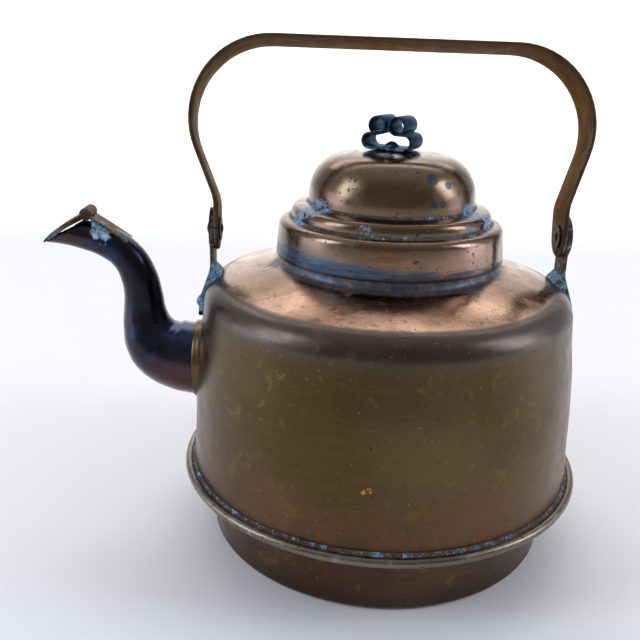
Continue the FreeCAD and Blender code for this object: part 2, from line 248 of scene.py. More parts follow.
class Finish:
    # a metal with patina, or the room's light, built from noise and place
    def __init__(self, owner, coordinates="Object"):
        self.owner = owner
        owner.use_nodes = True
        self.tree = owner.node_tree
        self.tree.nodes.clear()
        self.place = self.node("ShaderNodeTexCoord", outlet=coordinates)
        split = self.node("ShaderNodeSeparateXYZ", None, {0: self.place}).socket.node
        self.x, self.y, self.z = (Value(self, socket) for socket in split.outputs)

    def node(self, kind, settings=None, inputs=None, outlet=0):
        made = self.tree.nodes.new(kind)
        for name, value in (settings or {}).items():
            if name == "stops":
                ramp = made.color_ramp
                while len(ramp.elements) < len(value):
                    ramp.elements.new(0.5)
                for element, (position, colour) in zip(ramp.elements, value):
                    element.position = position
                    element.color = (*colour, 1)
            else:
                setattr(made, name, value)
        for name, value in (inputs or {}).items():
            if isinstance(value, Value):
                self.tree.links.new(value.socket, made.inputs[name])
            else:
                made.inputs[name].default_value = value
        return None if outlet is None else Value(self, made.outputs[outlet])

    def larger(self, first, second):
        return self.node("ShaderNodeMath", {"operation": "MAXIMUM"}, {0: first, 1: second})

    def noise(self, scale, detail=4, roughness=0.55, distortion=0.0, at=None):
        return self.node("ShaderNodeTexNoise", None,
                         {"Vector": at or self.place, "Scale": scale, "Detail": detail,
                          "Roughness": roughness, "Distortion": distortion})

    def stretched(self, x, y, z, shift=(0, 0, 0)):
        return self.node("ShaderNodeMapping", None,
                         {"Vector": self.place, "Scale": (x, y, z), "Location": shift})

    def between(self, value, low, high):
        # 0 below low, 1 above high, eased in between
        return self.node("ShaderNodeMapRange", {"interpolation_type": "SMOOTHSTEP"},
                         {"Value": value, "From Min": low, "From Max": high})

    def blend(self, factor, under, over):
        settings = {"data_type": "RGBA", "clamp_factor": True}
        inputs = {0: factor}
        for index, colour in ((6, under), (7, over)):
            inputs[index] = colour if isinstance(colour, Value) else (*colour, 1)
        return self.node("ShaderNodeMix", settings, inputs, outlet=2)

    def near(self, centre, radius, soft=0.5):
        # 1 at a place given in mm and falling to 0 at radius
        away = self.node("ShaderNodeVectorMath", {"operation": "DISTANCE"},
                         {0: self.place, 1: [c * mm for c in centre]}, outlet="Value")
        return 1 - self.between(away, radius * mm * (1 - soft), radius * mm)

    def marks(self, places):
        # soft marks: degrees round from the front, distance out, height and size in mm, and softness
        total = 0
        for degrees, out, height, size, soft in places:
            turn = math.radians(degrees)
            total = total + self.near((out * math.sin(turn), -out * math.cos(turn), height), size, soft)
        return total

    def bump(self, height, depth, distance=0.001, under=None):
        inputs = {"Height": height, "Strength": depth, "Distance": distance}
        if under:
            inputs["Normal"] = under
        return self.node("ShaderNodeBump", None, inputs)

    def done(self, colour, roughness, normal=None, metallic=1.0, coat=0.0, tint=(1, 1, 1)):
        # tint is the colour of the glancing reflections, and the coat is old tarnish
        inputs = {"Base Color": colour, "Roughness": roughness, "Metallic": metallic,
                  "Coat Weight": coat, "Coat Roughness": 0.2, "Specular Tint": (*tint, 1)}
        if normal:
            inputs["Normal"] = normal
        shader = self.node("ShaderNodeBsdfPrincipled", None, inputs)
        self.node("ShaderNodeOutputMaterial", None, {"Surface": shader}, outlet=None)
        return self.owner


def newFinish(name):
    return Finish(bpy.data.materials.new(name))


# camera, light and floor

camera = {
    "place": (-0.0447, -0.4111, 0.2592),
    # degrees: looking down, looking left, leaning over, and turned about the kettle
    "pitch": 19.06,
    "yaw": 4.91,
    "roll": 1.69,
    "around": 6.2,
    "lens": 44.48,
}


def placeCamera():
    data = bpy.data.cameras.new("camera")
    data.lens = camera["lens"]
    data.sensor_width = 36
    data.clip_start = 0.01
    eye = bpy.data.objects.new("camera", data)
    bpy.context.scene.collection.objects.link(eye)
    pitch, yaw, roll, around = (math.radians(camera[name]) for name in ("pitch", "yaw", "roll", "around"))
    forward = Vector((-math.sin(yaw) * math.cos(pitch), math.cos(yaw) * math.cos(pitch), -math.sin(pitch)))
    right = Vector((math.cos(yaw), math.sin(yaw), 0))
    upward = right.cross(forward)
    rightRolled = right * math.cos(roll) + upward * math.sin(roll)
    upRolled = upward * math.cos(roll) - right * math.sin(roll)
    basis = Matrix((rightRolled, upRolled, -forward)).transposed()
    turn = Matrix.Rotation(-around, 3, "Z")
    eye.matrix_world = Matrix.Translation(camera["place"]) @ (turn @ basis).to_4x4()
    bpy.context.scene.camera = eye


placeCamera()


def plainFinish(name, colour, roughness):
    material = bpy.data.materials.new(name)
    material.use_nodes = True
    shader = material.node_tree.nodes["Principled BSDF"]
    shader.inputs["Base Color"].default_value = (*colour, 1)
    shader.inputs["Roughness"].default_value = roughness
    return material


studio = {
    "floorColour": (0.88, 0.87, 0.85),
    # front, bend and top of the floor's sweep in mm, and its width in metres
    "floorSweep": [(-4000, 0, 0), (3000, 0, 900), (3600, 3500, 0)],
    "floorWidth": 8,
    "roomDark": (0.30, 0.29, 0.29),
    "roomBright": (0.68, 0.71, 0.77),
    "roomStrength": 0.8,
    # name, place, target, width and height, power in watts, colour
    "lights": [
        ("left window", (-1.25, -0.35, 0.75), (0, 0, 0.10), (0.45, 0.9), 8.5, (0.76, 0.84, 1.0)),
        ("right window", (1.35, -0.25, 0.80), (0, 0, 0.10), (0.45, 0.9), 9, (0.80, 0.86, 1.0)),
        ("back sky", (0.0, 1.1, 1.5), (0, 0, 0.10), (2.4, 0.9), 15, (0.98, 0.97, 0.98)),
        ("low left", (-0.95, -0.08, 0.16), (0, 0, 0.09), (0.5, 0.26), 1.3, (0.66, 0.70, 1.0)),
        ("low right", (0.95, -0.05, 0.16), (0, 0, 0.09), (0.4, 0.26), 0.7, (0.68, 0.72, 1.0)),
        ("backdrop wash", (0.0, 1.2, 1.6), (0, 3.2, 0.9), (2.0, 0.6), 70, (1.0, 1.0, 1.0)),
    ],
}


def lightStudio():
    for name, place, target, (width, height), power, colour in studio["lights"]:
        data = bpy.data.lights.new(name, "AREA")
        data.shape = "RECTANGLE"
        data.size = width
        data.size_y = height
        data.energy = power
        data.color = colour
        lamp = bpy.data.objects.new(name, data)
        bpy.context.scene.collection.objects.link(lamp)
        lamp.location = place
        lamp.rotation_euler = (Vector(target) - Vector(place)).to_track_quat("-Z", "Y").to_euler()
    world = bpy.data.worlds.new("pale room")
    bpy.context.scene.world = world
    # the room is pale behind and above the kettle and dim on the camera's side
    room = Finish(world, "Generated")
    bright = room.between(room.y + room.z * 0.6, -0.35, 0.75)
    colour = room.blend(bright, studio["roomDark"], studio["roomBright"])
    glow = room.node("ShaderNodeBackground", None, {"Color": colour, "Strength": studio["roomStrength"]})
    room.node("ShaderNodeOutputWorld", None, {"Surface": glow}, outlet=None)
    bpy.context.scene.view_settings.view_transform = "Standard"


def layFloor():
    # a wide sheet that curves up behind the kettle
    piece = profile("floor", studio["floorSweep"])
    bpy.ops.mesh.select_all(action="SELECT")
    bpy.ops.transform.translate(value=(0, -studio["floorWidth"] / 2, 0))
    bpy.ops.mesh.extrude_edges_move(TRANSFORM_OT_translate={"value": (0, studio["floorWidth"], 0)})
    finishEditing(piece)
    settle(piece, Matrix.Rotation(math.radians(90), 4, "Z"))
    piece.data.materials.append(plainFinish("pale floor", studio["floorColour"], 0.9))


lightStudio()
layFloor()
print("camera, light and floor are set")

# the kettle's body

pan = {
    "outline": [(0, 0, 0), (93.5, 0, 3.5), (94.3, 35.3, 1.5), (104.0, 35.3, 0)],
    "sheet": 1.2,
}
flange = {
    "top": 37.7,
    "bottom": 36.5,
    "inner": 96.0,
    "rimCentre": (107.6, 38.0),
    "rim": 2.4,
}
footBead = {
    "outline": [(104.4, 38.0, 0), (106.1, 38.2, 0), (106.3, 39.8, 0), (105.4, 40.3, 0.6), (104.5, 41.5, 0)],
}
wall = {
    "points": [(104.9, 37.7), (103.6, 59.2), (102.8, 81.2), (101.4, 101.2), (99.4, 117.2)],
    "rim": (89.0, 142.3),
    "slope": 17,
    "bend": 13.0,
    "neckMeets": 56.8,
    "neckBend": 3.0,
    "neckLap": 4.5,
    "sheet": 1.2,
    # the round hole behind the spout: radius, middle, and how far the cut runs along X
    "opening": 19.4,
    "openingMiddle": (-100, 0, 93.4),
    "openingRun": 60,
}
neck = {"radius": 55.6, "foot": 150.0, "top": 172.3, "wire": 1.3, "sheet": 1.2}


def arcPoints(centre, radius, fromTurn, toTurn, count):
    # angles from the radius direction, upward
    result = []
    for step in range(count + 1):
        turn = math.radians(fromTurn + (toTurn - fromTurn) * step / count)
        result.append((centre[0] + radius * math.cos(turn), centre[1] + radius * math.sin(turn), 0))
    return result


def makePan():
    piece = turnedSheet("stovePan", pan["outline"], pan["sheet"], 1)
    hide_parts("bottom_pan")
    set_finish(piece, "pan_copper")
    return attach(piece, "kettle")


def makeFlange():
    x, z = flange["rimCentre"]
    sink = math.degrees(math.asin((z - flange["top"]) / flange["rim"]))
    under = math.degrees(math.asin((z - flange["bottom"]) / flange["rim"]))
    rim = arcPoints((x, z), flange["rim"], -180 + under, 180 - sink, 28)
    corners = [(flange["inner"], flange["top"], 0), (flange["inner"], flange["bottom"], 0)] + rim
    piece = turnedRing("stoveFlange", corners)
    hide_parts("stove_flange")
    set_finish(piece, "flange_bronze")
    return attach(piece, "kettle")


def makeFootBead():
    piece = turnedRing("footBead", footBead["outline"], 80)
    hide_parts("foot_bead")
    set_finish(piece, "solder")
    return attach(piece, "kettle")


def makeWall():
    slope = math.radians(wall["slope"])
    rimX, rimZ = wall["rim"]
    centre = (rimX - math.sin(slope) * wall["bend"], rimZ - math.cos(slope) * wall["bend"])
    shoulder = arcPoints(centre, wall["bend"], 4, 90 - wall["slope"], 14)
    side = [(r, z, 0) for r, z in flowing(wall["points"] + [shoulder[0][:2]])]
    meetX = wall["neckMeets"]
    meetZ = rimZ + (rimX - meetX) * math.tan(slope)
    top = [(meetX, meetZ, wall["neckBend"]), (meetX, meetZ + wall["neckLap"], 0)]
    shoulderRun = [(rimX + (meetX - rimX) * t, rimZ + (meetZ - rimZ) * t, 0) for t in (0.25, 0.5, 0.75)]
    piece = turnAbout(profile("bodyWall", side + shoulder[1:] + shoulderRun + top))
    sheeted(piece, wall["sheet"])
    selectNothing()
    bpy.ops.mesh.primitive_cylinder_add(vertices=64, radius=wall["opening"] * mm,
                                        depth=wall["openingRun"] * mm,
                                        location=[c * mm for c in wall["openingMiddle"]],
                                        rotation=(0, math.radians(90), 0))
    cutAway(piece, bpy.context.object)
    finishEditing(piece)
    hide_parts("body_shell")
    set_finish(piece, "body_copper")
    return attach(piece, "kettle")


def makeNeck():
    inner = neck["radius"] - neck["sheet"]
    corners = [(neck["radius"], neck["foot"], 0), (neck["radius"], neck["top"], 0),
               (inner, neck["top"], 0), (inner, neck["foot"], 0)]
    tube = turnedRing("neck", corners)
    selectNothing()
    bpy.ops.mesh.primitive_torus_add(major_radius=inner * mm, minor_radius=neck["wire"] * mm,
                                     major_segments=turnSteps, minor_segments=20,
                                     location=(0, 0, neck["top"] * mm))
    wire = settle(bpy.context.object)
    finishEditing(wire, 60)
    piece = joined("neck", [tube, wire])
    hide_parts("neck_collar", "neck_rim")
    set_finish(piece, "body_copper")
    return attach(piece, "kettle")


kettlePieces = {
    "pan": makePan(),
    "flange": makeFlange(),
    "footBead": makeFootBead(),
    "wall": makeWall(),
    "neck": makeNeck(),
}
print("pan, flange, wall and neck are made")

# the spout

spout = {
    # middle of each section in x and z, and its radius, in mm
    "sections": [(-92.0, 93.2, 20.4), (-98.0, 93.4, 20.3), (-106.0, 93.7, 20.1), (-113.0, 95.2, 19.6),
                 (-120.8, 98.4, 18.5), (-126.5, 104.2, 16.8), (-129.7, 111.8, 13.9), (-131.0, 120.2, 11.7),
                 (-131.5, 130.2, 10.4), (-133.5, 140.4, 9.8), (-139.2, 151.2, 9.0), (-149.4, 158.4, 8.5),
                 (-160.5, 161.9, 7.9), (-172.0, 164.0, 7.3), (-186.0, 165.6, 7.6)],
    "sheet": 1.2,
    "mouthTip": (-182.0, 157.1),
    "mouthBack": (-158.0, 171.5),
    "root": -98.6,
    "smoothing": 6,
}
collar = {
    # x and distance from the collar's own axis, in mm
    "outline": [(-103.6, 20.2), (-103.6, 20.9), (-103.1, 21.2), (-102.2, 21.3), (-101.2, 21.6),
                (-100.0, 22.1), (-99.2, 22.1), (-99.2, 20.2)],
    "height": 93.4,
}


def makeSpout():
    selectNothing()
    bpy.ops.curve.primitive_bezier_curve_add()
    piece = bpy.context.object
    piece.name = "spoutTube"
    piece.data.name = "spoutTube"
    line = piece.data.splines[0]
    line.bezier_points.add(len(spout["sections"]) - len(line.bezier_points))
    for point, (x, z, radius) in zip(line.bezier_points, spout["sections"]):
        point.co = (x * mm, 0, z * mm)
        point.radius = radius
        point.handle_left_type = "AUTO"
        point.handle_right_type = "AUTO"
    line.radius_interpolation = "CARDINAL"
    line.resolution_u = 8
    piece.data.bevel_depth = mm
    piece.data.bevel_resolution = 14
    piece.data.twist_mode = "Z_UP"
    bpy.ops.object.convert(target="MESH")
    settle(piece)
    bpy.ops.object.mode_set(mode="EDIT")
    bpy.ops.mesh.select_all(action="SELECT")
    bpy.ops.mesh.remove_doubles(threshold=1e-6)
    bpy.ops.object.mode_set(mode="OBJECT")
    applied(piece, "SMOOTH", factor=0.5, iterations=spout["smoothing"])
    bpy.ops.object.mode_set(mode="EDIT")
    bpy.ops.mesh.select_all(action="SELECT")
    tip = Vector((spout["mouthTip"][0], 0, spout["mouthTip"][1])) * mm
    back = Vector((spout["mouthBack"][0], 0, spout["mouthBack"][1])) * mm
    slope = (back - tip).normalized()
    bpy.ops.mesh.bisect(plane_co=tip, plane_no=(-slope.z, 0, slope.x), clear_outer=True)
    bpy.ops.mesh.select_all(action="SELECT")
    bpy.ops.mesh.bisect(plane_co=(spout["root"] * mm, 0, 0), plane_no=(1, 0, 0), clear_outer=True)
    bpy.ops.mesh.select_all(action="SELECT")
    bpy.ops.mesh.normals_make_consistent(inside=False)
    bpy.ops.object.mode_set(mode="OBJECT")
    sheeted(piece, spout["sheet"], 1)
    eased(piece, 0.25, 2, 50)
    finishEditing(piece, 45)
    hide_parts("spout")
    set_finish(piece, "spout_copper")
    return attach(piece, "kettle")


def makeCollar():
    corners = [(x, z + collar["height"], 0) for x, z in collar["outline"]]
    piece = profile("spoutCollar", corners, closed=True)
    turnAbout(piece, (0, 0, collar["height"] * mm), (1, 0, 0), 120)
    finishEditing(piece, 40)
    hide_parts("spout_collar")
    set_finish(piece, "body_copper")
    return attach(piece, "kettle")


kettlePieces["spout"] = makeSpout()
kettlePieces["collar"] = makeCollar()
print("spout and collar are made")

# the lid

lid = {
    "sheet": 1.0,
    "bend": 4.0,
    "ledgeSlope": 0.24,
    "band": {"foot": (59.8, 156.4), "top": (58.4, 174.2), "inner": 50.2},
    "step": {"foot": (52.4, 175.2), "top": (51.9, 181.3), "inner": 41.1},
    "domePoints": [(43.3, 183.0), (43.3, 189.2), (41.6, 196.2), (36.8, 203.2), (28.6, 207.9), (16.0, 209.9),
                   (0.0, 210.7)],
    "bead": 1.5,
}


def ledge(part, radius):
    outer, top = part["top"]
    return top + (outer - radius) * lid["ledgeSlope"]


def makeLidTier(name, part, node):
    outer, top = part["top"]
    corners = [(*part["foot"], 0), (outer, top, lid["bend"]), (part["inner"], ledge(part, part["inner"]), 0)]
    piece = turnedSheet(name, corners, lid["sheet"])
    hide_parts(node)
    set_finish(piece, "lid_copper")
    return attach(piece, "lid")


def makeDome():
    corners = [(r, z, 0) for r, z in flowing(lid["domePoints"], 6)]
    piece = turnAbout(profile("lidDome", corners))
    sheeted(piece, lid["sheet"])
    finishEditing(piece, 50)
    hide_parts("lid_dome")
    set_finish(piece, "lid_copper")
    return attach(piece, "lid")


def makeLidBead(name, radius, height, node):
    inner = radius - 0.4
    corners = [(inner, height - 0.3, 0), (radius + lid["bead"] * 0.8, height - 0.3, 0),
               (radius + lid["bead"] * 0.25, height + lid["bead"] * 0.3, 0), (inner, height + lid["bead"], 0)]
    piece = turnedRing(name, corners, 80)
    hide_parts(node)
    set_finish(piece, "solder")
    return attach(piece, "lid")


lidPieces = {
    "band": makeLidTier("lidBand", lid["band"], "lid_band"),
    "step": makeLidTier("lidStep", lid["step"], "lid_step"),
    "dome": makeDome(),
    "lowerBead": makeLidBead("lidLowerBead", 52.4, ledge(lid["band"], 52.4), "lid_solder_lower"),
    "upperBead": makeLidBead("lidUpperBead", 43.3, ledge(lid["step"], 43.3), "lid_solder_upper"),
}
print("lid is made")

# the knob

knob = {
    "width": 17.0,
    "sheet": 1.3,
    "seat": 210.7,
    "flat": 9.4,
    "loop": 4.3,
    "scroll": 4.8,
    "scrollAt": 5.3,
    "turn": -28.0,
    "aside": -1.3,
    "curlEnd": 318,
}


def knobHalf():
    # middle line of the strip from its middle on the dome out round a loop and up into a scroll
    half = knob["sheet"] / 2
    loop = knob["loop"] - half
    scroll = knob["scroll"] - half
    rise = knob["seat"] + 2 * knob["loop"] - knob["sheet"]
    line = [(0, knob["seat"] + half, 0), (knob["flat"] / 2, knob["seat"] + half, 0)]
    line += arcPoints((knob["flat"], knob["seat"] + knob["loop"]), loop, -90, 90, 16)
    line += arcPoints((knob["scrollAt"], rise + knob["scroll"]), scroll, -90, -knob["curlEnd"] - 90, 34)
    return [(x, z) for x, z, bend in line]


def makeKnob():
    right = knobHalf()
    whole = [(-x, z) for x, z in reversed(right[1:])] + right
    places = [Vector((x * mm, 0, z * mm)) for x, z in whole]
    piece = firstPoint("knobScroll", places[0])
    drawTo(places[1:], places[0])
    bpy.ops.mesh.select_all(action="SELECT")
    bpy.ops.transform.translate(value=(0, -knob["width"] / 2 * mm, 0))
    bpy.ops.mesh.extrude_edges_move(TRANSFORM_OT_translate={"value": (0, knob["width"] * mm, 0)})
    bpy.ops.object.mode_set(mode="OBJECT")
    sheeted(piece, knob["sheet"], 0)
    eased(piece, 0.3, 2, 50)
    finishEditing(piece, 45)
    turned = Matrix.Rotation(math.radians(knob["turn"]), 4, "Z")
    settle(piece, Matrix.Translation((knob["aside"] * mm, 0, 0)) @ turned)
    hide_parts("knob_scroll")
    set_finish(piece, "knob_copper")
    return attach(piece, "lid")


lidPieces["knob"] = makeKnob()
print("knob is made")

# the handle

handle = {
    "width": 22.0,
    "sheet": 2.4,
    "pivot": 167.2,
    "end": 92.15,
    "shoulder": 15.0,
    "shoulderBend": 20.0,
    "spoutCorner": (-125.5, 98.5),
    "tailCorner": (119.3, 96.6),
    "cornerBend": 42.0,
    "lean": -12.0,
    # the cut that rounds the ends: how far it clears the sides and the top, and its half depth in metres
    "cutMargin": 0.3,
    "cutAbove": 130,
    "cutReach": 0.15,
}


def roundEndedTool(radius, height):
    # a slab along X, round below the pivot and open above it
    side = radius + handle["cutMargin"]
    above = height + handle["cutAbove"]
    outline = arcPoints((0, height), radius, -180, 0, 32)
    outline += [(side, height, 0), (side, above, 0), (-side, above, 0), (-side, height, 0)]
    tool = profile("endRounding", outline, closed=True)
    bpy.ops.mesh.select_all(action="SELECT")
    bpy.ops.mesh.edge_face_add()
    bpy.ops.transform.translate(value=(0, -handle["cutReach"], 0))
    bpy.ops.mesh.extrude_region_move(TRANSFORM_OT_translate={"value": (0, 2 * handle["cutReach"], 0)})
    bpy.ops.mesh.select_all(action="SELECT")
    bpy.ops.mesh.normals_make_consistent(inside=False)
    bpy.ops.object.mode_set(mode="OBJECT")
    return settle(tool, Matrix.Rotation(math.radians(90), 4, "Z"))


def makeHandle():
    pivot = handle["pivot"]
    low = pivot - handle["width"] / 2
    spoutX, spoutZ = handle["spoutCorner"]
    tailX, tailZ = handle["tailCorner"]
    corners = [(-handle["end"], low, 0), (-handle["end"], pivot + handle["shoulder"], handle["shoulderBend"]),
               (spoutX, pivot + spoutZ, handle["cornerBend"]), (tailX, pivot + tailZ, handle["cornerBend"]),
               (handle["end"], pivot + handle["shoulder"], handle["shoulderBend"]), (handle["end"], low, 0)]
    piece = profile("strapHandle", corners)
    half = handle["width"] / 2 * mm
    bpy.ops.mesh.select_all(action="SELECT")
    bpy.ops.transform.translate(value=(0, -half, 0))
    bpy.ops.mesh.extrude_edges_move(TRANSFORM_OT_translate={"value": (0, 2 * half, 0)})
    bpy.ops.object.mode_set(mode="OBJECT")
    sheeted(piece, handle["sheet"], 1)
    keepInside(piece, roundEndedTool(handle["width"] / 2, pivot))
    eased(piece, 0.7, 3, 50)
    finishEditing(piece, 40)
    around = Matrix.Translation((0, 0, pivot * mm))
    settle(piece, around @ Matrix.Rotation(math.radians(handle["lean"]), 4, "X") @ around.inverted())
    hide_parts("handle")
    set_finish(piece, "handle_brass")
    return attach(piece, "handle")


strap = makeHandle()
print("handle is made")

# finishes

bodyMarks = {
    "fleck": [(-9, 103.3, 71, 1.7, 0.5), (-7.5, 103.3, 72, 1.9, 0.5)],
}


def bodyFinish():
    f = newFinish("bodyPatina")
    broad = f.noise(9, 3, 0.5)
    fine = f.noise(70, 5, 0.6)
    grain = f.noise(900, 2, 0.5, at=f.stretched(1, 1, 0.25))
    around = f.noise(55, 6, 0.7, at=f.stretched(1, 1, 14))
    olive = f.blend(f.between(broad, 0.38, 0.62), (0.078, 0.049, 0.017), (0.118, 0.075, 0.036))
    streaked = f.blend(f.between(around, 0.50, 0.66) * 0.25, olive, (0.140, 0.092, 0.044))
    violetPlace = f.between(f.noise(6, 2, 0.5, at=f.stretched(1, 1, 1, (3, 1, 2))), 0.45, 0.7)
    violet = f.blend(violetPlace * 0.6, streaked, (0.112, 0.070, 0.062))
    # yellow-olive blotches, from specks up to a fingertip
    large = f.between(f.noise(95, 3, 0.6, 0.5), 0.60, 0.66)
    small = f.between(f.noise(190, 3, 0.6, 0.4), 0.61, 0.67)
    fields = f.between(f.noise(14, 2, 0.5, at=f.stretched(1, 1, 1, (1, 4, 2))), 0.32, 0.52)
    spots = f.larger(large, small) * fields
    mottled = f.blend(spots * 0.55, violet, (0.165, 0.114, 0.030))
    reddish = f.blend((1 - f.between(f.z, 0.040, 0.085)) * f.between(fine, 0.3, 0.7) * 0.75, mottled,
                      (0.150, 0.064, 0.036))
    fleck = f.marks(bodyMarks["fleck"]) * f.between(f.noise(700, 3), 0.40, 0.55)
    flecked = f.blend(fleck, reddish, (0.50, 0.22, 0.05))
    # the shoulder's top is a brighter salmon copper, ending in a sharp line before the bend
    inward = f.node("ShaderNodeVectorMath", {"operation": "LENGTH"},
                    {0: f.node("ShaderNodeCombineXYZ", None, {0: f.x, 1: f.y})}, outlet="Value")
    onShoulder = f.between(f.z, 0.134, 0.1400) * (1 - f.between(inward, 0.0862, 0.0888))
    salmon = f.blend(f.between(f.noise(25, 5, 0.65), 0.4, 0.65), (0.37, 0.218, 0.138), (0.255, 0.145, 0.088))
    dirty = f.blend(f.between(f.noise(210, 4, 0.7), 0.58, 0.66) * 0.8, salmon, (0.12, 0.075, 0.05))
    # painted shade with grey-violet tarnish: the bend below the shoulder's edge is greyed to dim its
    # reflection
    bend = f.between(f.z, 0.124, 0.134)
    bendShadeAndTarnish = f.blend(bend * 0.6, flecked, (0.092, 0.074, 0.074))
    shoulderAndShadedBend = f.blend(onShoulder, bendShadeAndTarnish, dirty)
    # blue bloom where damp sits against the lid
    wander = 0.0602 + 0.0075 * f.between(f.noise(34, 5, 0.7), 0.50, 0.72)
    ring = f.between(f.z, 0.1445, 0.1465) * (1 - f.between(f.z, 0.1560, 0.1600))
    ring = ring * (1 - f.between(inward - wander, -0.0030, 0.0026))
    patchy = f.between(f.noise(240, 5, 0.7), 0.36, 0.56)
    blued = f.blend(ring * (0.40 + 0.5 * patchy), shoulderAndShadedBend, (0.030, 0.082, 0.130))
    pits = f.between(f.noise(560, 2, 0.5), 0.69, 0.72)
    specks = f.between(f.noise(520, 1, 0.5, at=f.stretched(1, 1, 1, (2, 2, 5))), 0.755, 0.775)
    pitted = f.blend(pits * 0.8, blued, (0.03, 0.022, 0.015))
    colour = f.blend(specks * 0.5, pitted, (0.30, 0.26, 0.19))
    roughness = 0.29 + 0.14 * f.between(fine, 0.35, 0.7) + 0.10 * spots - 0.12 * onShoulder + 0.30 * ring
    bumped = f.bump(grain, 0.05, 0.0004)
    bumped = f.bump(fine, 0.05, 0.0010, bumped)
    bumped = f.bump(around, 0.05, 0.0006, bumped)
    bumped = f.bump(1 - pits, 0.35, 0.0005, bumped)
    return f.done(colour, roughness, bumped, metallic=1 - 0.55 * ring, coat=0.15)


def panFinish():
    f = newFinish("panFireSkin")
    broad = f.noise(11, 4, 0.55)
    fine = f.noise(80, 5, 0.65)
    around = f.noise(50, 6, 0.7, at=f.stretched(1, 1, 12))
    brown = f.blend(f.between(broad, 0.38, 0.62), (0.088, 0.036, 0.019), (0.112, 0.062, 0.032))
    streaked = f.blend(f.between(around, 0.45, 0.65) * 0.5, brown, (0.064, 0.024, 0.016))
    mottled = f.blend(f.between(fine, 0.56, 0.64) * 0.6, streaked, (0.180, 0.120, 0.040))
    dark = f.blend((1 - f.between(f.z, 0.001, 0.018)) * 0.6, mottled, (0.055, 0.029, 0.019))
    pits = f.between(f.noise(300, 2, 0.5), 0.69, 0.73)
    colour = f.blend(pits * 0.8, dark, (0.020, 0.014, 0.010))
    roughness = 0.33 + 0.2 * f.between(fine, 0.3, 0.7)
    bumped = f.bump(around, 0.08, 0.0008)
    return f.done(colour, roughness, f.bump(fine, 0.12, 0.001, bumped), coat=0.3)


def flangeFinish():
    f = newFinish("flangeBronze")
    fine = f.noise(120, 5, 0.65)
    grey = f.blend(f.between(f.noise(14, 3, 0.5), 0.4, 0.6), (0.190, 0.170, 0.130), (0.150, 0.118, 0.080))
    dirty = f.blend(f.between(fine, 0.57, 0.70) * 0.7, grey, (0.26, 0.31, 0.34))
    pits = f.between(f.noise(300, 2, 0.5), 0.66, 0.70)
    colour = f.blend(pits * 0.8, dirty, (0.030, 0.026, 0.022))
    roughness = 0.22 + 0.25 * f.between(fine, 0.35, 0.7)
    return f.done(colour, roughness, f.bump(fine, 0.2, 0.0008), coat=0.3)


lidMarks = {
    "domeStains": [(23, 38.5, 201, 3.6, 0.35), (35, 40.5, 198, 2.3, 0.35), (13, 35.5, 204, 1.2, 0.5),
                   (28, 43, 190, 2.4, 0.5), (54, 43, 191, 1.4, 0.5), (22, 43, 190, 2.2, 0.6)],
    "ledgeCrust": [(-60, 45, 184, 13, 0.7), (56, 45, 184, 10, 0.7), (-67, 54, 177, 9, 0.7),
                   (63, 53, 178, 9, 0.7), (-19, 53, 178, 5, 0.6), (41, 53, 177, 5, 0.6)],
    "warmStreak": [(-6, 58.5, 166, 17, 0.9)],
    "darkRunAt": 55,
}


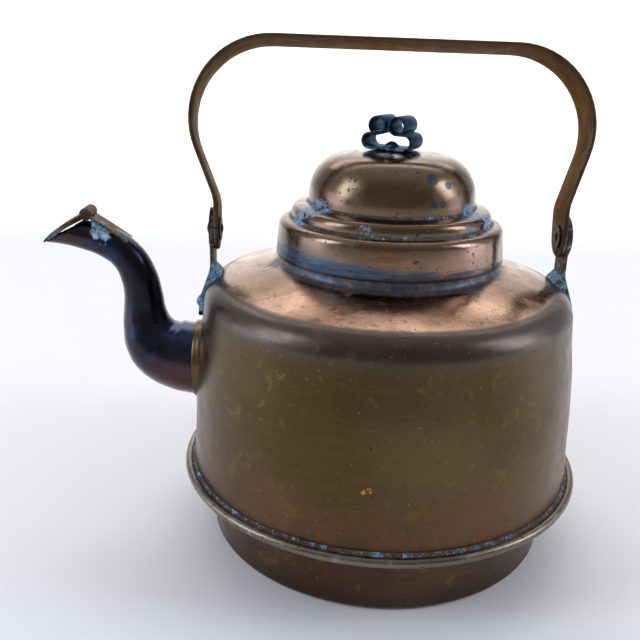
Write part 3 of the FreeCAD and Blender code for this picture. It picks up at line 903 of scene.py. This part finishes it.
def lidFinish():
    f = newFinish("lidCopper")
    broad = f.noise(18, 3, 0.5)
    fine = f.noise(110, 5, 0.65)
    around = f.noise(60, 6, 0.7, at=f.stretched(1, 1, 9))
    rose = f.blend(f.between(broad, 0.38, 0.62), (0.190, 0.128, 0.086), (0.150, 0.095, 0.052))
    salmon = f.blend(f.between(f.x, 0.000, 0.045) * (1 - f.between(f.z, 0.170, 0.1745)) * 0.85, rose,
                     (0.38, 0.235, 0.165))
    # round teal stains on the dome's right and a few strays
    stains = f.marks(lidMarks["domeStains"])
    strays = f.between(f.noise(120, 3, 0.6, at=f.stretched(1, 1, 1, (0.5, 0.2, 0.1))), 0.66, 0.69) * 0.8
    edged = f.between((stains + strays) * (0.4 + f.between(f.noise(420, 3, 0.6), 0.25, 0.55)), 0.30, 0.62)
    spotted = f.blend(edged * 0.9, salmon, (0.024, 0.048, 0.070))
    # dark blue runs along the band's foot, highest on the left
    level = f.z - 0.1585 + f.x * 0.055 - f.between(around, 0.3, 0.7) * 0.0055
    low = 1 - f.between(level, -0.0012, 0.0028)
    navy = f.blend(f.between(around, 0.42, 0.60), (0.026, 0.056, 0.105), (0.066, 0.125, 0.205))
    blued = f.blend(low * 0.9, spotted, f.blend(f.between(f.x, -0.02, 0.03), navy, (0.040, 0.050, 0.070)))
    # painted shade: a dark line along the band's bottom edge, where it overhangs the shoulder
    footShadeLine = 1 - f.between(f.z, 0.1570, 0.1582)
    glow = f.marks(lidMarks["warmStreak"]) * f.between(around, 0.50, 0.58) * (1 - low)
    warmed = f.blend(glow * 0.55, blued, (0.46, 0.145, 0.045))
    # one dark run down the band's right end
    runAt = math.radians(lidMarks["darkRunAt"])
    across = f.node("ShaderNodeMath", {"operation": "ABSOLUTE"},
                    {0: f.x * math.cos(runAt) + f.y * math.sin(runAt)})
    onRight = f.between(f.x, 0.04, 0.042) * (1 - f.between(f.z, 0.1705, 0.1725))
    run = (1 - f.between(across, 0.0012, 0.0022)) * onRight
    # the dark run, and the painted shade line at the band's foot, both in dark brown
    runAndFootShade = f.blend(f.larger(run, footShadeLine) * 0.9, warmed, (0.045, 0.020, 0.014))
    # pale crust in the corners of the ledges
    corner = f.marks(lidMarks["ledgeCrust"])
    ledges = f.between(f.z, 0.1748, 0.1756) * (1 - f.between(f.z, 0.1868, 0.1885))
    crust = f.between(f.noise(260, 6, 0.75) + corner * 0.14, 0.58, 0.66)
    crust = crust * f.between(corner, 0.0, 0.4) * ledges
    crusted = f.blend(crust, runAndFootShade, (0.24, 0.38, 0.54))
    pits = f.between(f.noise(520, 2, 0.5), 0.67, 0.70)
    colour = f.blend(pits * 0.85 * (1 - crust), crusted, (0.03, 0.025, 0.02))
    roughness = 0.17 + 0.15 * f.between(fine, 0.35, 0.7) + 0.16 * low + 0.15 * edged + 0.4 * crust
    bumped = f.bump(fine, 0.06, 0.0008)
    bumped = f.bump(crust * f.noise(500, 3), 0.6, 0.0010, bumped)
    return f.done(colour, roughness, f.bump(1 - pits, 0.35, 0.0005, bumped), coat=0.25)


spoutMarks = {
    "redRoot": (-112, -20, 80),
    "brownMouth": (-172, -6, 160),
    "crust": (-151, -7, 165),
    "barrelEnd": (-158, -10, 174),
}


def spoutFinish():
    f = newFinish("spoutBlack")
    fine = f.noise(90, 5, 0.65)
    navy = f.blend(f.between(f.noise(20, 3, 0.5), 0.4, 0.6), (0.008, 0.009, 0.022), (0.022, 0.018, 0.024))
    root = f.near(spoutMarks["redRoot"], 30, 0.8) * f.between(f.noise(45, 4, 0.6), 0.34, 0.50)
    blue = f.between(f.noise(38, 4, 0.65), 0.44, 0.62) * 0.8
    steel = f.blend(blue * (1 - root), navy, (0.022, 0.036, 0.090))
    red = f.blend(root * 0.85, steel, (0.090, 0.034, 0.030))
    mouth = f.near(spoutMarks["brownMouth"], 26, 0.9) * f.between(fine, 0.35, 0.6)
    brown = f.blend(mouth * 0.7, red, (0.070, 0.046, 0.032))
    patch = f.between(f.near(spoutMarks["crust"], 9, 0.9) * 0.30 + f.noise(260, 6, 0.75), 0.66, 0.76)
    pale = f.blend(f.between(f.noise(300, 4), 0.4, 0.6), (0.13, 0.27, 0.42), (0.50, 0.66, 0.76))
    colour = f.blend(patch, brown, pale)
    roughness = 0.22 + 0.16 * f.between(fine, 0.35, 0.7) + 0.4 * patch
    bumped = f.bump(fine, 0.08, 0.0008)
    return f.done(colour, roughness, f.bump(patch, 0.5, 0.0008, bumped), metallic=1 - patch, coat=0.3)


def handleFinish():
    f = newFinish("handleStrap")
    fine = f.noise(130, 5, 0.65)
    streak = f.noise(60, 4, 0.6, at=f.stretched(0.25, 2.0, 1.0))
    brown = f.blend(f.between(streak, 0.38, 0.62), (0.084, 0.058, 0.037), (0.126, 0.088, 0.060))
    warm = f.blend(f.between(f.noise(22, 3, 0.6), 0.5, 0.68) * 0.6, brown, (0.150, 0.066, 0.026))
    pits = f.between(f.noise(300, 3, 0.6), 0.64, 0.70)
    pitted = f.blend(pits * 0.7, warm, (0.035, 0.022, 0.014))
    damp = f.between(f.noise(170, 5, 0.7), 0.47, 0.58) * (1 - f.between(f.z, 0.168, 0.180))
    colour = f.blend(damp * 0.7, pitted, (0.10, 0.19, 0.27))
    roughness = 0.38 + 0.18 * f.between(fine, 0.35, 0.7)
    return f.done(colour, roughness, f.bump(fine, 0.12, 0.0006), tint=(0.52, 0.43, 0.36))


def knobFinish():
    f = newFinish("knobBlueBlack")
    fine = f.noise(140, 5, 0.65)
    dark = f.blend(f.between(fine, 0.4, 0.6), (0.010, 0.018, 0.028), (0.024, 0.048, 0.072))
    crust = f.between(f.noise(260, 5, 0.7), 0.45, 0.6) * (1 - f.between(f.z, 0.2112, 0.2150))
    bloom = f.between(f.noise(330, 5, 0.7), 0.52, 0.64) * 0.6
    teal = f.blend(bloom, dark, (0.060, 0.135, 0.180))
    colour = f.blend(crust * 0.9, teal, (0.17, 0.34, 0.48))
    roughness = 0.30 + 0.2 * f.between(fine, 0.35, 0.7) + 0.3 * crust
    return f.done(colour, roughness, f.bump(fine, 0.2, 0.0008), metallic=1 - 0.8 * crust,
                  tint=(0.6, 0.75, 0.9))


solderMarks = {
    "ledges": [(-60, 45, 184, 15, 0.6), (56, 45, 185, 12, 0.6), (-67, 54, 176, 12, 0.6),
               (63, 53, 177, 11, 0.6)],
    "domeFoot": [(30, 44, 185, 12, 0.5)],
    # the ears' solder at each side, and the hinge leaf's solder on the spout
    "roots": [(90, 100, 130, 30, 0.3), (-90, 100, 130, 30, 0.3), (-90, 150, 168, 16, 0.3)],
}


def verdigrisFinish():
    f = newFinish("verdigrisCrust")
    fine = f.noise(260, 6, 0.75)
    grains = f.noise(800, 3, 0.7)
    pale = f.blend(f.between(grains, 0.42, 0.60), (0.045, 0.150, 0.290), (0.34, 0.60, 0.82))
    ledges = f.marks(solderMarks["ledges"]) + f.marks(solderMarks["domeFoot"]) * 0.7
    roots = f.marks(solderMarks["roots"])
    foot = (1 - f.between(f.z, 0.042, 0.050)) * 0.35
    crusted = f.between((ledges + roots * 1.5 + foot) * 0.13 + fine, 0.57, 0.66)
    bare = f.blend(f.between(fine, 0.4, 0.6), (0.085, 0.060, 0.040), (0.13, 0.115, 0.105))
    colour = f.blend(crusted, bare, pale)
    return f.done(colour, 0.40 + 0.35 * crusted, f.bump(grains, 0.8, 0.0012, f.bump(fine, 0.6, 0.0018)),
                  metallic=1 - 0.85 * crusted)


def earFinish():
    f = newFinish("earDark")
    fine = f.noise(140, 5, 0.65)
    dark = f.blend(f.between(fine, 0.4, 0.6), (0.060, 0.044, 0.032), (0.110, 0.082, 0.058))
    low = f.between(f.z, 0.118, 0.128) * (1 - f.between(f.z, 0.146, 0.156))
    crust = f.between(f.noise(200, 5, 0.7) + low * 0.16, 0.56, 0.66)
    colour = f.blend(crust, dark, f.blend(f.between(fine, 0.4, 0.6), (0.08, 0.20, 0.33), (0.30, 0.50, 0.66)))
    roughness = 0.30 + 0.2 * f.between(fine, 0.35, 0.7) + 0.35 * crust
    return f.done(colour, roughness, f.bump(fine, 0.25, 0.0008), metallic=1 - 0.8 * crust,
                  tint=(0.7, 0.6, 0.5))


def hingeFinish():
    f = newFinish("hingeDark")
    fine = f.noise(150, 5, 0.65)
    grey = f.blend(f.between(fine, 0.4, 0.62), (0.046, 0.038, 0.030), (0.120, 0.108, 0.092))
    rust = f.blend(f.near(spoutMarks["barrelEnd"], 9, 0.8) * 0.8, grey, (0.080, 0.034, 0.026))
    damp = f.between(f.noise(240, 5, 0.7), 0.55, 0.64) * 0.7
    colour = f.blend(damp, rust, (0.12, 0.25, 0.36))
    roughness = 0.32 + 0.2 * f.between(fine, 0.35, 0.7)
    return f.done(colour, roughness, f.bump(fine, 0.2, 0.0006), tint=(0.7, 0.6, 0.5))


finishes = {
    "body_copper": bodyFinish(),
    "lid_copper": lidFinish(),
    "pan_copper": panFinish(),
    "flange_bronze": flangeFinish(),
    "spout_copper": spoutFinish(),
    "solder": verdigrisFinish(),
    "ear_copper": earFinish(),
    "handle_brass": handleFinish(),
    "hinge_brass": hingeFinish(),
    "knob_copper": knobFinish(),
}
finishes["iron"] = finishes["hinge_brass"]


def dress(piece, slotName):
    piece.data.materials.clear()
    piece.data.materials.append(finishes[slotName])


for piece in list(kettlePieces.values()) + list(lidPieces.values()) + [strap]:
    dress(piece, piece["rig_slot"])
for part in frame["record"]["subparts"]:
    node = frame["nodes"][part["node"]]
    if not node.hide_render:
        dress(node, part["material_slot"])
print("every piece has its finish")
